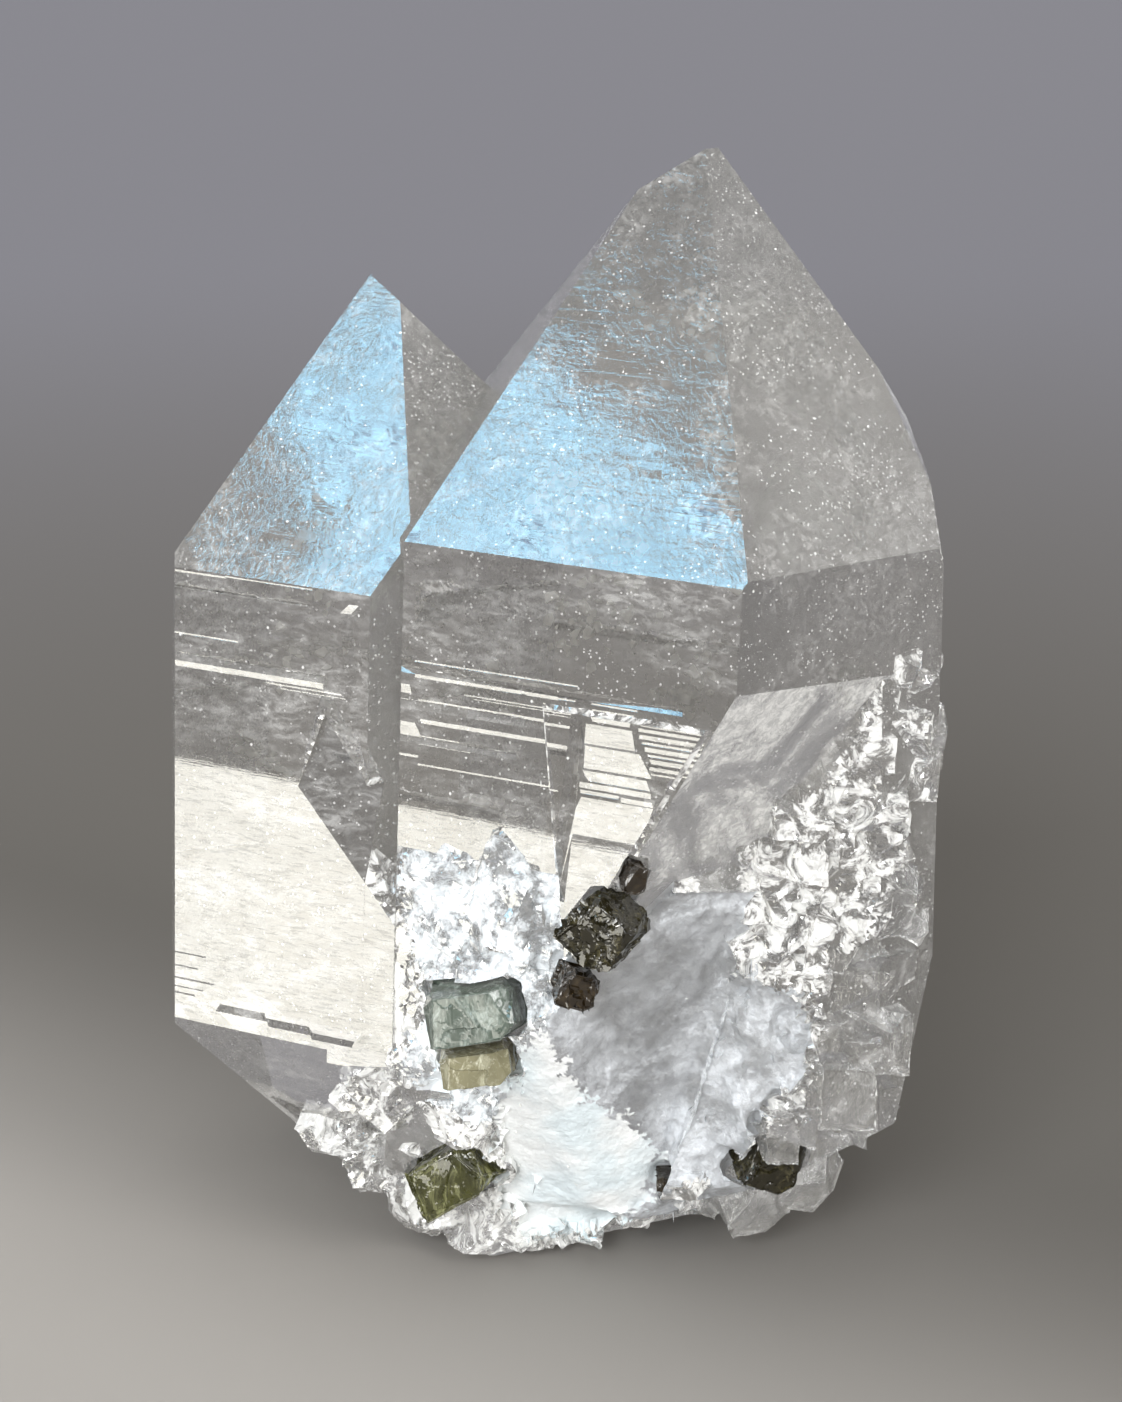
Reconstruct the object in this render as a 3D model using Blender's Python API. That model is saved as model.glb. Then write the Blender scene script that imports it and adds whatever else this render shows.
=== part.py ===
"""Twin quartz crystal on its broken foot, with small olive crystals set in its front.

Units are metres and +Z is up. The front faces -Y, and azimuths turn from the front (0) towards
+X (90). Two quartz crystals of one orientation have grown together: the lower one stands on the
left, the taller one on the right. Their faces keep the angles of real quartz.
"""
import math
import random

import bmesh
import bpy
from mathutils import Matrix, Quaternion, Vector, noise

MM = 0.001

# Habit of quartz: six prism faces 60 degrees apart, each with a rhomb face above it
PRISM_STEP = 60.0
FIRST_AZIMUTH = -22.3
RHOMB_SLOPE = 38.2
TWIN_LEAN = 2.2
LEAN_PIVOT = 35.0

# Left crystal, in millimetres: axis, distance of each prism face, height of each rhomb face
LEFT_AXIS = (-12.4, 4.0)
LEFT_PRISM = (13.06, 12.04, 12.0, 11.6, 12.4, 12.22)
LEFT_APEX = (60.9, 62.7, None, 63.2, 60.9, None)

# Right crystal, in millimetres; None stands for a face that another one replaces
RIGHT_AXIS = (7.6, 0.0)
RIGHT_PRISM = (17.2, 16.5, None, 15.2, 16.0, 18.5)
RIGHT_APEX = (69.8, 69.3, None, 72.0, 69.8, None)

# The wide facet low on the right crystal's front, which slopes inward as it goes down
INWARD_FACET = (36.4, -23.7, (9.7, -19.47, 42.2))

# Corners of the smooth facet on the lower right of the left crystal's front
NOTCH_LEFT_END = Vector((-15.7, -8.76, 31.9))
NOTCH_RIGHT_END = Vector((-7.0, -12.33, 20.8))
NOTCH_PEAK = Vector((-14.06, -9.44, 36.6))
NOTCH_TILT = 14.0

# A fused face lies this far under the one it runs into
SKIN = 0.04
LEDGE_SKIN = 0.12
TERRACE_RISE = 0.45
PIECE_GAP = 0.3
BLOCK_REACH = 90.0
SMALL_REACH = 12.0
FLOOR_DEPTH = 60.0
QUARTZ_IOR = 1.544

QUARTZ_COLOUR = (0.80, 0.80, 0.78, 1.0)
DARK_OLIVE = (0.055, 0.048, 0.024, 1.0)
OLIVE_GREEN = (0.18, 0.17, 0.09, 1.0)
OLIVE_BEIGE = (0.45, 0.44, 0.31, 1.0)
GREY_GREEN = (0.23, 0.26, 0.22, 1.0)
DARK_BROWN = (0.060, 0.040, 0.018, 1.0)


def clear_scene():
    for item in list(bpy.data.objects):
        bpy.data.objects.remove(item, do_unlink=True)


def facing(azimuth, elevation=0.0):
    """Unit direction that a face looks in."""
    turn = math.radians(azimuth)
    rise = math.radians(elevation)
    flat = math.cos(rise)
    return Vector((math.sin(turn) * flat, -math.cos(turn) * flat, math.sin(rise)))


def face_through(azimuth, elevation, point):
    return facing(azimuth, elevation), Vector(point)


def prism_azimuth(index):
    return FIRST_AZIMUTH + PRISM_STEP * index


def link_mesh(name, shape):
    """Turns a bmesh into a linked object and frees the bmesh."""
    data = bpy.data.meshes.new(name)
    shape.to_mesh(data)
    shape.free()
    item = bpy.data.objects.new(name, data)
    bpy.context.collection.objects.link(item)
    return item


def cut_block(name, faces, centre=(0.0, 0.0, 35.0), reach=BLOCK_REACH):
    """A block, in millimetres, cut flat by each face, given as its outward direction and a point."""
    shape = bmesh.new()
    bmesh.ops.create_cube(shape, size=2.0 * reach, matrix=Matrix.Translation(centre))
    for outward, point in faces:
        everything = shape.verts[:] + shape.edges[:] + shape.faces[:]
        cut = bmesh.ops.bisect_plane(
            shape, geom=everything, dist=1e-5, plane_co=point, plane_no=outward, clear_outer=True
        )
        rim = [item for item in cut["geom_cut"] if isinstance(item, bmesh.types.BMEdge)]
        if rim:
            bmesh.ops.contextual_create(shape, geom=rim)
    bmesh.ops.recalc_face_normals(shape, faces=shape.faces[:])
    return link_mesh(name, shape)


def prism_face(axis, prism, index, inset=0.0):
    """One prism face of a crystal, set back by the inset."""
    outward = facing(prism_azimuth(index))
    return outward, Vector((axis[0], axis[1], 0.0)) + outward * (prism[index] - inset)


def crystal_faces(axis, prism, apex):
    """The prism faces and upper rhomb faces of one crystal."""
    faces = []
    for index in range(6):
        if prism[index] is not None:
            faces.append(prism_face(axis, prism, index))
        if apex[index] is not None:
            faces.append(face_through(prism_azimuth(index), RHOMB_SLOPE, (axis[0], axis[1], apex[index])))
    return faces


def left_crystal():
    front_low = (-24.1, -5.3, 15.1)
    faces = crystal_faces(LEFT_AXIS, LEFT_PRISM, LEFT_APEX)
    faces.append(face_through(-105.0, 27.7, (-12.55, 3.98, 60.8)))
    faces.append(face_through(105.0, 46.9, (-10.5, 2.0, 59.2)))
    faces.append(face_through(FIRST_AZIMUTH, -RHOMB_SLOPE, front_low))
    faces.append(face_through(-75.0, -43.5, front_low))
    faces.append(face_through(-140.0, -50.0, (-20.0, 12.0, 10.0)))
    faces.append(face_through(160.0, -40.0, (-10.0, 15.0, 9.0)))
    return cut_block("left_crystal", faces)


def notch_facet():
    """The smooth facet on the lower right of the left crystal's front, tilted about its left edge."""
    tilt = Quaternion(NOTCH_RIGHT_END - NOTCH_LEFT_END, math.radians(-NOTCH_TILT))
    return tilt @ facing(FIRST_AZIMUTH), NOTCH_LEFT_END


def left_notch():
    """What the smooth facet takes off the left crystal's front prism face."""
    outward, point = notch_facet()
    faces = [
        (-outward, point),
        face_through(-75.0, 16.0, NOTCH_PEAK),
        face_through(40.0, 32.0, NOTCH_PEAK),
        face_through(90.0, 0.0, (-6.0, -12.0, 25.0)),
        face_through(0.0, -90.0, (0.0, 0.0, 16.0)),
        face_through(0.0, 0.0, (0.0, -20.0, 25.0)),
    ]
    return cut_block("left_notch", faces)


def left_apron():
    """The left crystal's front below the smooth facet, where it spreads over the seam."""
    outward, point = notch_facet()
    faces = [
        prism_face(LEFT_AXIS, LEFT_PRISM, 0, SKIN),
        (outward, point - outward * SKIN),
        face_through(62.0, 24.0, (-7.6, -12.0, 20.0)),
        face_through(FIRST_AZIMUTH + 8.0, -RHOMB_SLOPE, (-8.4, -11.7, 15.0)),
        face_through(FIRST_AZIMUTH + 180.0, 0.0, (-12.0, 2.0, 0.0)),
        face_through(-90.0, 0.0, (-13.6, 0.0, 0.0)),
        face_through(0.0, -90.0, (0.0, 0.0, 14.2)),
    ]
    return cut_block("left_apron", faces)


def right_side_faces():
    """The right edge of the right crystal, from its shoulder down to its broken, tapering foot."""
    return [
        face_through(97.7, 37.6, (18.0, -3.64, 57.4)),
        face_through(85.0, 29.6, (18.0, -3.64, 57.4)),
        face_through(80.0, 16.9, (21.0, -7.04, 51.6)),
        face_through(97.7, 3.5, (21.8, -9.5, 47.0)),
        face_through(92.0, -9.0, (23.2, -8.0, 22.5)),
        face_through(80.0, -32.0, (21.7, -5.0, 10.6)),
        face_through(50.0, -52.0, (18.3, -5.0, 7.2)),
        face_through(20.0, -58.0, (13.0, -4.6, 3.4)),
    ]


def right_crystal():
    faces = crystal_faces(RIGHT_AXIS, RIGHT_PRISM, RIGHT_APEX) + right_side_faces()
    faces.append(face_through(-90.0, 33.9, (-9.58, -11.62, 47.85)))
    faces.append(face_through(*INWARD_FACET))
    faces.append(face_through(-14.0, -22.0, (-0.4, -15.7, 20.0)))
    faces.append(face_through(-32.0, -50.0, (-9.6, -11.6, 9.0)))
    faces.append(face_through(160.0, -30.0, (10.0, 14.5, 8.0)))
    return cut_block("right_crystal", faces)


def front_terrace():
    """Raised right part of the right crystal's front prism face, with a slanted left edge."""
    faces = [
        prism_face(RIGHT_AXIS, RIGHT_PRISM, 0, -TERRACE_RISE),
        face_through(FIRST_AZIMUTH + 180.0, 0.0, (3.0, -11.1, 30.0)),
        prism_face(RIGHT_AXIS, RIGHT_PRISM, 1, LEDGE_SKIN),
        face_through(-80.0, -6.0, (0.2, -15.6, 27.0)),
        face_through(FIRST_AZIMUTH, 62.0, (1.5, -16.1, 39.6)),
        face_through(INWARD_FACET[0], INWARD_FACET[1], (9.6, -19.3, 42.2)),
        face_through(0.0, -90.0, (0.0, 0.0, 22.0)),
    ]
    return cut_block("front_terrace", faces)


def frosted_front():
    """Pointed frosted body low on the front, with a left and a right face meeting in a ridge."""
    ridge_top = (-0.4, -16.0, 20.5)
    faces = [
        face_through(-12.0, -21.7, ridge_top),
        face_through(25.0, -13.8, ridge_top),
        face_through(-78.0, -12.0, (-3.0, -10.5, 9.1)),
        face_through(-52.0, 40.0, ridge_top),
        face_through(34.0, 40.0, (8.0, -14.6, 27.5)),
        face_through(10.0, -64.0, (3.0, -8.0, 3.2)),
        face_through(180.0, 0.0, (0.0, -2.0, 10.0)),
        face_through(90.0, 0.0, (14.0, 0.0, 10.0)),
    ]
    return cut_block("frosted_front", faces)


def right_flank():
    """Broken lower right side, which stands outside the inward facet."""
    faces = right_side_faces()
    faces += [
        prism_face(RIGHT_AXIS, RIGHT_PRISM, 1, LEDGE_SKIN),
        face_through(0.0, -3.0, (11.9, -11.8, 31.2)),
        face_through(70.0, 60.0, (20.0, -8.0, 45.0)),
        face_through(180.0, 0.0, (0.0, 8.0, 10.0)),
        face_through(-80.0, 12.0, (10.5, -11.5, 20.0)),
    ]
    return cut_block("right_flank", faces)


def foot_block():
    """Broken stump under the two crystals, which carries the base."""
    faces = [
        face_through(25.0, -24.0, (2.0, -4.6, 0.0)),
        face_through(64.0, -12.0, (18.0, 4.0, 0.0)),
        face_through(-48.0, -16.0, (-6.2, -3.6, 0.0)),
        face_through(-66.0, -14.0, (-11.0, 3.0, 0.0)),
        face_through(-132.0, -10.0, (-11.5, 9.0, 0.0)),
        face_through(174.0, -12.0, (4.0, 10.6, 0.0)),
        face_through(128.0, -10.0, (16.0, 8.6, 0.0)),
        face_through(0.0, 90.0, (0.0, 0.0, 10.0)),
    ]
    return cut_block("foot_block", faces)


def lump(name, centre, radii, seed, detail=2, roughness=0.28):
    """A knobbly lump: a faceted ball whose points move in and out by a smooth noise."""
    shape = bmesh.new()
    bmesh.ops.create_icosphere(shape, subdivisions=detail, radius=1.0)
    shift = Vector((seed * 3.7, seed * 1.9, seed * 5.3))
    for point in shape.verts:
        swell = 1.0 + roughness * noise.noise(point.co * 2.3 + shift) * 2.0
        place = point.co * swell
        point.co = Vector(centre) + Vector((place.x * radii[0], place.y * radii[1], place.z * radii[2]))
    bmesh.ops.recalc_face_normals(shape, faces=shape.faces[:])
    return link_mesh(name, shape)


def shard(name, centre, size, seed, cuts=7):
    """A broken glassy chip: a block cut by seeded planes."""
    chance = random.Random(seed)
    faces = []
    for _ in range(cuts):
        outward = facing(chance.uniform(-180.0, 180.0), chance.uniform(-60.0, 60.0))
        faces.append((outward, Vector(centre) + outward * size * chance.uniform(0.45, 0.85)))
    return cut_block(name, faces, centre=centre, reach=size)


def granular_patch():
    """Lumps between the crystals, in the middle of the front."""
    places = (
        ((-2.4, -13.7, 26.6), (2.9, 2.3, 4.8)),
        ((-5.8, -12.0, 28.2), (2.0, 1.7, 2.2)),
        ((-6.4, -11.9, 24.2), (1.9, 1.6, 2.5)),
        ((-3.2, -13.2, 21.6), (2.4, 1.9, 2.2)),
        ((-7.6, -10.9, 20.6), (1.7, 1.5, 2.4)),
        ((-6.8, -10.6, 15.2), (2.7, 2.1, 2.5)),
        ((-5.0, -10.2, 11.6), (2.8, 2.4, 2.7)),
        ((-9.4, -8.8, 12.2), (2.8, 2.0, 2.3)),
        ((-1.6, -13.2, 23.2), (1.8, 1.7, 1.9)),
        ((-8.6, -10.0, 14.6), (1.6, 1.3, 1.5)),
        ((-11.6, -7.2, 10.8), (1.7, 1.3, 1.4)),
        ((-8.0, -7.6, 8.8), (2.0, 1.7, 1.8)),
        ((-3.8, -9.8, 9.6), (1.6, 1.4, 2.2)),
    )
    return [
        lump(f"granular_{index}", centre, radii, seed=index + 1)
        for index, (centre, radii) in enumerate(places)
    ]


def base_rim():
    """Lumps along the lower edge, left and right of the frosted body."""
    places = (
        ((-12.8, -1.6, 6.2), (2.8, 2.4, 2.0)),
        ((-10.0, -3.6, 4.6), (2.9, 2.4, 2.3)),
        ((-7.0, -5.2, 3.2), (3.0, 2.6, 2.4)),
        ((-3.8, -5.9, 2.1), (3.0, 2.5, 2.4)),
        ((-0.4, -6.4, 1.9), (2.8, 2.3, 2.0)),
        ((2.8, -6.0, 2.6), (2.5, 2.2, 1.7)),
        ((5.8, -5.4, 3.2), (2.2, 2.0, 1.6)),
        ((9.6, -5.4, 5.2), (2.6, 2.4, 2.2)),
        ((12.8, -5.9, 4.9), (3.0, 2.7, 2.7)),
        ((16.0, -4.9, 6.0), (2.8, 2.5, 2.8)),
    )
    return [
        lump(f"rim_{index}", centre, radii, seed=index + 21)
        for index, (centre, radii) in enumerate(places)
    ]


def flank_chips():
    """Broken ledges in rows down the right side, from the edge of the inward facet to the corner."""
    chance = random.Random(11)
    chips = []
    rows = 17
    top = 41.4
    spacing = 1.85
    for row in range(rows):
        height = top - row * spacing
        start = max(19.0 - (top - height) * 0.72, 11.0)
        stop = 21.4 - max(0.0, 20.0 - height) * 0.22
        columns = max(2, round((stop - start) / spacing))
        for column in range(columns):
            along = start + (stop - start) * (column + chance.uniform(0.1, 0.8)) / columns
            depth = -10.9 if along < 19.0 else -10.9 + (along - 19.0) * 0.77
            centre = (along, depth + chance.uniform(-0.1, 0.5), height + chance.uniform(-0.6, 0.6))
            size = chance.uniform(1.3, 2.1)
            chips.append(shard(f"chip_{row}_{column}", centre, size, seed=row * 9 + column, cuts=6))
    return chips


def back_chips():
    """Broken ledges along the lower edge of the back and the sides."""
    places = (
        ((-21.0, 6.5, 12.4), 3.0),
        ((-18.6, 11.2, 9.6), 3.2),
        ((-13.4, 14.0, 8.2), 3.2),
        ((-7.4, 14.6, 7.0), 3.0),
        ((-1.2, 13.6, 5.6), 3.0),
        ((4.6, 14.4, 6.8), 3.2),
        ((10.4, 13.4, 6.4), 3.0),
        ((15.8, 11.2, 6.6), 3.2),
        ((19.6, 6.4, 8.4), 3.0),
        ((20.8, 1.0, 7.8), 2.8),
        ((-14.6, 6.6, 4.4), 2.8),
        ((12.2, 9.8, 2.6), 2.6),
    )
    return [
        shard(f"back_chip_{index}", centre, size, seed=index + 60)
        for index, (centre, size) in enumerate(places)
    ]


def union_of(name, parts):
    """Fuses the parts into one solid and removes them."""
    first = parts[0]
    others = bpy.data.collections.new(name + "_parts")
    for item in parts[1:]:
        others.objects.link(item)
    fuse = first.modifiers.new("fuse", "BOOLEAN")
    fuse.operation = "UNION"
    fuse.operand_type = "COLLECTION"
    fuse.collection = others
    fuse.solver = "EXACT"
    return bake(name, first, parts, others)


def bake(name, source, used, group=None):
    """Keeps the evaluated shape of source under a new name and removes what it was made from."""
    graph = bpy.context.evaluated_depsgraph_get()
    data = bpy.data.meshes.new_from_object(source.evaluated_get(graph))
    for item in used:
        bpy.data.objects.remove(item, do_unlink=True)
    if group is not None:
        bpy.data.collections.remove(group)
    result = bpy.data.objects.new(name, data)
    data.name = name
    bpy.context.collection.objects.link(result)
    return result


def keep_main_body(item):
    """Fills closed hollows between fused lumps and drops loose crumbs: only the main skin stays."""
    shape = bmesh.new()
    shape.from_mesh(item.data)
    left = set(shape.verts)
    islands = []
    while left:
        front = [left.pop()]
        island = []
        while front:
            point = front.pop()
            island.append(point)
            for edge in point.link_edges:
                other = edge.other_vert(point)
                if other in left:
                    left.remove(other)
                    front.append(other)
        islands.append(island)
    islands.sort(key=len)
    for island in islands[:-1]:
        bmesh.ops.delete(shape, geom=island, context="VERTS")
    shape.to_mesh(item.data)
    shape.free()


def cut_away(target, cutter):
    """Takes the cutter's shape out of the target."""
    name = target.name
    cut = target.modifiers.new("cut", "BOOLEAN")
    cut.operation = "DIFFERENCE"
    cut.object = cutter
    cut.solver = "EXACT"
    target.name = name + "_uncut"
    return bake(name, target, [target, cutter])


def growth_groove(crystal, index, height, left, right, width, depth):
    """Wedge that cuts one growth groove across a prism face, from left to right of its axis."""
    axis, prism = crystal
    outward = facing(prism_azimuth(index))
    along = facing(prism_azimuth(index) + 90.0)
    middle = Vector((axis[0], axis[1], height)) + outward * prism[index]
    upward = Vector((0.0, 0.0, width))
    shape = bmesh.new()
    rings = []
    for place in (middle + along * left, middle + along * right):
        rings.append([
            shape.verts.new(place - outward * depth),
            shape.verts.new(place + outward + upward),
            shape.verts.new(place + outward - upward * 4.0),
        ])
    shape.faces.new(rings[0])
    shape.faces.new(rings[1][::-1])
    for corner in range(3):
        following = (corner + 1) % 3
        shape.faces.new((rings[0][corner], rings[1][corner], rings[1][following], rings[0][following]))
    bmesh.ops.recalc_face_normals(shape, faces=shape.faces[:])
    return link_mesh("growth_groove", shape)


def accessory_crystals():
    """Name, colour, centre, half sizes and turn of each small crystal set in the quartz."""
    return (
        ("olive_crystal_tip", DARK_BROWN, (4.4, -17.4, 30.1), (0.65, 0.9, 0.85), (12.0, 20.0)),
        ("olive_crystal_large", DARK_OLIVE, (2.9, -16.9, 26.6), (1.9, 1.8, 1.9), (-24.0, 34.0)),
        ("olive_crystal_lower", DARK_BROWN, (1.3, -16.6, 22.8), (1.2, 1.2, 1.1), (10.0, 18.0)),
        ("grey_green_block", GREY_GREEN, (-4.6, -14.0, 20.0), (2.8, 1.8, 1.6), (-14.0, -16.0)),
        ("olive_beige_block", OLIVE_BEIGE, (-4.3, -13.6, 16.5), (2.2, 1.7, 1.1), (-6.0, -12.0)),
        ("olive_green_crystal", OLIVE_GREEN, (-5.6, -9.2, 6.8), (2.8, 1.9, 1.7), (-20.0, -38.0)),
        ("olive_crystal_right", DARK_OLIVE, (13.9, -9.6, 8.9), (1.8, 1.7, 1.8), (18.0, 24.0)),
        ("brown_flake", DARK_BROWN, (8.4, -9.2, 7.0), (1.4, 0.9, 0.55), (0.0, -6.0)),
    )


def accessory_faces(centre, half, turn, grow=0.0):
    """Faces of one short blocky crystal with bevelled ends, grown outward by a clearance."""
    spin = Matrix.Rotation(math.radians(turn[0]), 3, "Z") @ Matrix.Rotation(math.radians(turn[1]), 3, "Y")
    middle = Vector(centre)
    slanted = 0.80
    faces = []
    for axis, sign in ((0, -1), (0, 1), (1, -1), (1, 1), (2, -1), (2, 1)):
        direction = Vector((0.0, 0.0, 0.0))
        direction[axis] = sign
        faces.append((spin @ direction, half[axis] + grow))
    corners = ((1, -1, 0.35), (-1, -1, 0.2), (1, 0.2, 1), (-1, -0.3, 1), (1, -0.4, -1), (-1, 0.3, -1))
    for corner in corners:
        direction = Vector(corner).normalized()
        span = sum(abs(direction[axis]) * half[axis] for axis in range(3))
        faces.append((spin @ direction, span * slanted + grow))
    return [(outward, middle + outward * distance) for outward, distance in faces]


def lean(item):
    """Leans a shape over with the crystals' axes and turns millimetres into metres."""
    pivot = Vector((0.0, 0.0, LEAN_PIVOT))
    turn = Matrix.Rotation(math.radians(TWIN_LEAN), 4, "Y")
    item.data.transform(
        Matrix.Scale(MM, 4) @ Matrix.Translation(pivot) @ turn @ Matrix.Translation(-pivot)
    )


def shell_material(name, colour, roughness, transmission=0.0):
    material = bpy.data.materials.new(name)
    material.use_nodes = True
    surface = material.node_tree.nodes["Principled BSDF"]
    surface.inputs["Base Color"].default_value = colour
    surface.inputs["Roughness"].default_value = roughness
    surface.inputs["Metallic"].default_value = 0.0
    surface.inputs["Transmission Weight"].default_value = transmission
    surface.inputs["IOR"].default_value = QUARTZ_IOR
    return material


def stand_on_base(pieces):
    """Moves everything so that the middle of the base is the origin."""
    points = [point.co for piece in pieces for point in piece.data.vertices]
    middle_x = (min(point.x for point in points) + max(point.x for point in points)) / 2.0
    middle_y = (min(point.y for point in points) + max(point.y for point in points)) / 2.0
    lowest = min(point.z for point in points)
    for piece in pieces:
        piece.data.transform(Matrix.Translation((-middle_x, -middle_y, -lowest)))


def growth_grooves():
    """Grooves across the prism faces: crystal, face, height, left, right, width and depth."""
    left = (LEFT_AXIS, LEFT_PRISM)
    right = (RIGHT_AXIS, RIGHT_PRISM)
    return (
        (left, 0, 38.9, -16.0, 3.5, 0.55, 0.22),
        (left, 0, 43.2, -16.0, 2.4, 0.30, 0.14),
        (left, 3, 36.0, -3.0, 9.0, 0.60, 0.30),
        (left, 3, 27.0, -9.0, 5.0, 0.50, 0.26),
        (left, 4, 33.0, -4.0, 14.0, 0.60, 0.30),
        (left, 4, 22.0, -14.0, 14.0, 0.45, 0.24),
        (right, 0, 40.4, -22.0, 6.0, 0.45, 0.20),
        (right, 0, 38.4, -22.0, -3.6, 0.60, 0.24),
        (right, 0, 36.2, -22.0, -4.0, 0.50, 0.20),
        (right, 3, 44.0, -12.0, 4.0, 0.50, 0.28),
        (right, 3, 38.5, -4.0, 12.0, 0.60, 0.30),
        (right, 3, 30.0, -12.0, 12.0, 0.45, 0.24),
        (right, 3, 20.5, -9.0, 7.0, 0.60, 0.30),
        (right, 4, 41.0, -10.0, 4.0, 0.50, 0.26),
    )


def quartz_twin():
    """The two crystals, their ledges and their broken foot, fused into one solid."""
    left = cut_away(left_crystal(), left_notch())
    parts = [left, right_crystal(), left_apron(), front_terrace(), right_flank()]
    parts += [frosted_front(), foot_block()]
    parts += granular_patch() + base_rim() + flank_chips() + back_chips()
    quartz = union_of("quartz_twin", parts)
    for groove in growth_grooves():
        quartz = cut_away(quartz, growth_groove(*groove))
    return quartz


def flat_base(quartz):
    """Cuts the foot off flat at the height that the crystal stands on."""
    ground = face_through(0.0, 90.0, (0.0, 0.0, 0.0))
    below = cut_block("below", [ground], (0.0, 0.0, -FLOOR_DEPTH / 2.0), FLOOR_DEPTH)
    below.data.transform(Matrix.Scale(MM, 4))
    return cut_away(quartz, below)


def set_in_small_crystals(quartz):
    """Cuts a pocket for each small crystal and puts the crystal in it."""
    small = []
    for name, colour, centre, half, turn in accessory_crystals():
        opened = accessory_faces(centre, half, turn, PIECE_GAP)
        quartz = cut_away(quartz, cut_block("pocket", opened, centre, SMALL_REACH))
        crystal = cut_block(name, accessory_faces(centre, half, turn), centre, SMALL_REACH)
        crystal.data.materials.append(shell_material(name, colour, 0.3))
        small.append(crystal)
    return quartz, small


def build():
    clear_scene()
    quartz, small = set_in_small_crystals(quartz_twin())
    for piece in [quartz] + small:
        lean(piece)
    quartz = flat_base(quartz)
    keep_main_body(quartz)
    quartz.data.materials.clear()
    quartz.data.materials.append(shell_material("quartz", QUARTZ_COLOUR, 0.06, 1.0))
    stand_on_base([quartz] + small)


build()
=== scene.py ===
import math
import random

import bmesh
import bpy
from mathutils import Euler, Matrix, Vector, noise
from mathutils.bvhtree import BVHTree


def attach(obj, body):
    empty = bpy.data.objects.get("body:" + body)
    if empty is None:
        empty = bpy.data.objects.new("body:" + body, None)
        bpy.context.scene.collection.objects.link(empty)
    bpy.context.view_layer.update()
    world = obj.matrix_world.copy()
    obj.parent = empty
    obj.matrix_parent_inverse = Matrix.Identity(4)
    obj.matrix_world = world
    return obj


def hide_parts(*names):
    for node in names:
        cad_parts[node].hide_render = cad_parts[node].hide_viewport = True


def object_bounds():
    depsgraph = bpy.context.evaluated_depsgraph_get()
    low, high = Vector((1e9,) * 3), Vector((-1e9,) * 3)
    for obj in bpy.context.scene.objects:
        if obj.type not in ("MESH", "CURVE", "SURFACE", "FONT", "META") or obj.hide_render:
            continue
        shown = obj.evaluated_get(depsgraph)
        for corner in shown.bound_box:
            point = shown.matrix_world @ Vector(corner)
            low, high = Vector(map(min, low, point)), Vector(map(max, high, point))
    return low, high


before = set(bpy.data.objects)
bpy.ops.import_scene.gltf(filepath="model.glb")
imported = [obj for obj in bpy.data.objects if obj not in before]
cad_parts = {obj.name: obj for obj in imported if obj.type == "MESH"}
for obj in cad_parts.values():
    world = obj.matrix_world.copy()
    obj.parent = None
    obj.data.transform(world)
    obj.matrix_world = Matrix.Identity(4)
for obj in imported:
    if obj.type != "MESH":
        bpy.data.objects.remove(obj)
cad_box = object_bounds()

# noise_vector takes its offsets from this seed, and from the clock without one
noise.seed_set(5)

MM = 0.001
IOR = 1.544

# The crystals were drawn upright in millimetres, leant over about Y, and stood on the middle of their
# base. What is measured below is in that upright drawing's millimetres.
LEAN = math.radians(2.2)
LEAN_PIVOT = Vector((0.0, 0.0, 35.0))
SHIFT = Vector((1.695, 0.816, 0.0))
STANCE = (
    Matrix.Translation(SHIFT + LEAN_PIVOT)
    @ Matrix.Rotation(LEAN, 4, "Y")
    @ Matrix.Translation(-LEAN_PIVOT)
)
TO_UPRIGHT = STANCE.inverted()
TO_WORLD = Matrix.Scale(MM, 4) @ STANCE
TO_DRAWING = TO_WORLD.inverted()

# Camera at the photo's angle: millimetres before the shift, degrees down, focal length in millimetres
CAMERA_PLACE = Vector((0.0, -178.75, 91.61)) + SHIFT
CAMERA_PITCH = 17.57
CAMERA_LENS = 77.03
SENSOR = 36.0
PHOTO_SIZE = (1122.0, 1402.0)

# Crystal axes, azimuth of the front prism faces and elevation of the rhomb faces, as in the solids
LEFT_AXIS = Vector((-12.4, 4.0, 0.0))
RIGHT_AXIS = Vector((7.6, 0.0, 0.0))
FIRST_AZIMUTH = -22.3
RHOMB_SLOPE = 38.2

# Distances of the front prism faces from their axes, the right one's raised terrace, and the run at which
# they meet
LEFT_FRONT = 13.06
RIGHT_FRONT = 17.2
TERRACE_RISE = 0.45
FRONT_BORDER = -5.88

# Height at which the right crystal's front rhomb face cuts its axis
RIGHT_RHOMB_HEIGHT = 69.8

# Azimuth and elevation of the facet that slopes inward
INWARD = (36.4, -23.7)

# Finishes of the quartz in the order of its material slots, those on broken or frosted faces, and the
# smoothly shaded ones
PRISM, RHOMB, SATIN, RUBBLE, FROST, WHITE, GRAIN, HACKLE, HAZY = range(9)
ROUGH_ZONES = (RUBBLE, FROST, WHITE, GRAIN, HACKLE)
SOFT_ZONES = (FROST, WHITE)

# Longest edges of the fine mesh on broken and frosted quartz and on the small crystals
ROUGH_EDGE = 0.34
MINERAL_EDGE = 0.2

# Points closer than this are one, and faces that meet at less than this angle are one flat face
MERGE = 1e-4
FLAT_ANGLE = math.radians(0.3)

# Room for rounding when a point is tested against a strip or a valley, and a ray's step past a skin
HAIR = 1e-3

# How far the fine mesh stays inside the box of the solids
BOX_MARGIN = 0.02

# Least cosine between a smooth face's direction and its corners' directions, and least cosine of two
# directions that count as one
EVEN = 0.6
PARALLEL = 0.999

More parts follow.
